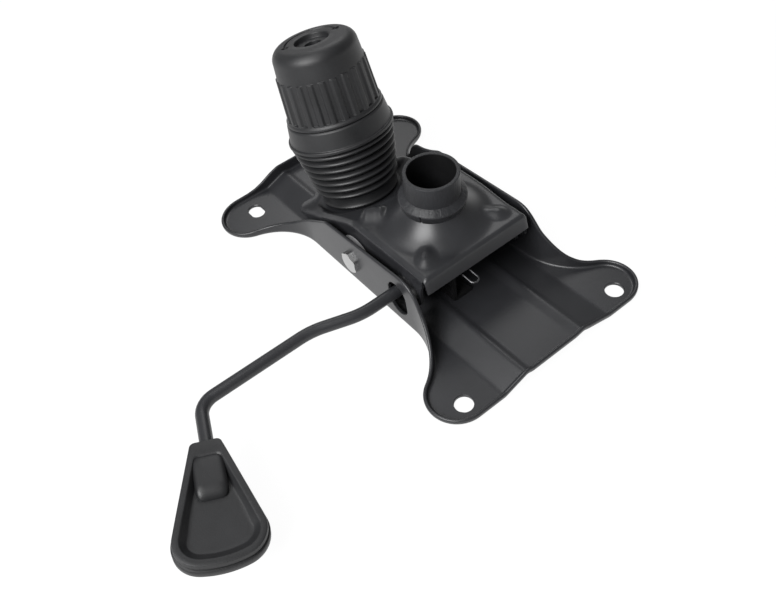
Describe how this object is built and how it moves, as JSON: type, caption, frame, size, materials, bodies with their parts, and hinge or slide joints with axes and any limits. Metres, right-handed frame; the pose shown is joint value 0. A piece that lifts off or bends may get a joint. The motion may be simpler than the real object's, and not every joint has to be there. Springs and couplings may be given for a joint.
{
  "type": "office chair tilt mechanism",
  "caption": "Pressed-steel swivel-tilt seat plate with tilting housing, gas lift socket, booted tension knob and a bent lever with a paddle.",
  "frame": {"origin": "centre of the rectangle of seat bolt holes, on the seat face of the plate", "axes": "+X from the tension knob's end to the plain end, +Y from the lever's side to the far side, +Z away from the seat, towards the socket's mouth"},
  "size_m": [0.2597, 0.3092, 0.1264],
  "materials": {
    "black_paint": "satin black powder coat",
    "black_plastic": "fine matt moulded",
    "boot_rubber": "matt black",
    "spacer_plastic": "smooth moulded",
    "zinc": "bright zinc plated",
    "spring_steel": "oiled wire",
    "bare_steel": "plain stamped"
  },
  "bodies": {
    "seat_plate": {"seat_plate": "black_paint", "pivot_bolt": "zinc", "pivot_nut": "zinc", "lock_catch": "bare_steel"},
    "housing": {"housing_cover": "black_paint", "inner_bracket": "black_paint", "gas_lift_socket": "black_paint", "weld_ring": "black_paint", "pivot_sleeve": "bare_steel", "pivot_spacers": "spacer_plastic", "lever_bush": "black_plastic", "lever_spring": "spring_steel", "spring_seat": "black_paint", "bellows": "boot_rubber", "tension_spring": "spring_steel"},
    "tension_bolt": {"tension_bolt": "zinc"},
    "spring_cap": {"spring_cap": "black_plastic", "thrust_washer": "zinc"},
    "knob": {"knob": "black_plastic", "knob_nut": "zinc"},
    "lock_plate": {"lock_plate": "bare_steel"},
    "lever": {"lever_rod": "black_paint", "lever_paddle": "black_plastic", "lever_clips": "spring_steel"}
  },
  "joints": [
    {"name": "seat_tilt", "type": "hinge", "parent": "seat_plate", "child": "housing", "pos_m": [-0.005, 0, 0.019], "axis": [0, 1, 0], "range_deg": [0, 12], "stiffness_Nm_per_rad": 60, "springref_deg": -8.59},
    {"name": "bolt_slide", "type": "slide", "parent": "housing", "child": "tension_bolt", "axis": [-0.1977, 0, 0.9803], "range_m": [-0.0114, 0], "deforming": ["bellows", "tension_spring"]},
    {"name": "cap_slide", "type": "slide", "parent": "tension_bolt", "child": "spring_cap", "axis": [-0.1977, 0, 0.9803], "range_m": [-0.009, 0.006], "deforming": ["bellows", "tension_spring"]},
    {"name": "knob_turn", "type": "hinge", "parent": "spring_cap", "child": "knob", "pos_m": [-0.061, 0, 0.0177], "axis": [-0.1977, 0, 0.9803], "range_deg": [-2161, 1441]},
    {"name": "lock_slide", "type": "slide", "parent": "housing", "child": "lock_plate", "axis": [0, 1, 0], "range_m": [0, 0.008]},
    {"name": "lever_lift", "type": "hinge", "parent": "lock_plate", "child": "lever", "pos_m": [0.0405, -0.03775, 0.025], "axis": [1, 0, 0], "range_deg": [0, 7], "stiffness_Nm_per_rad": 1, "springref_deg": -20.05}
  ],
  "couplings": [
    {"joint": "seat_tilt", "follows": "bolt_slide", "rad_per_m": -18.315},
    {"joint": "knob_turn", "follows": "cap_slide", "rad_per_m": 4188.8}
  ]
}
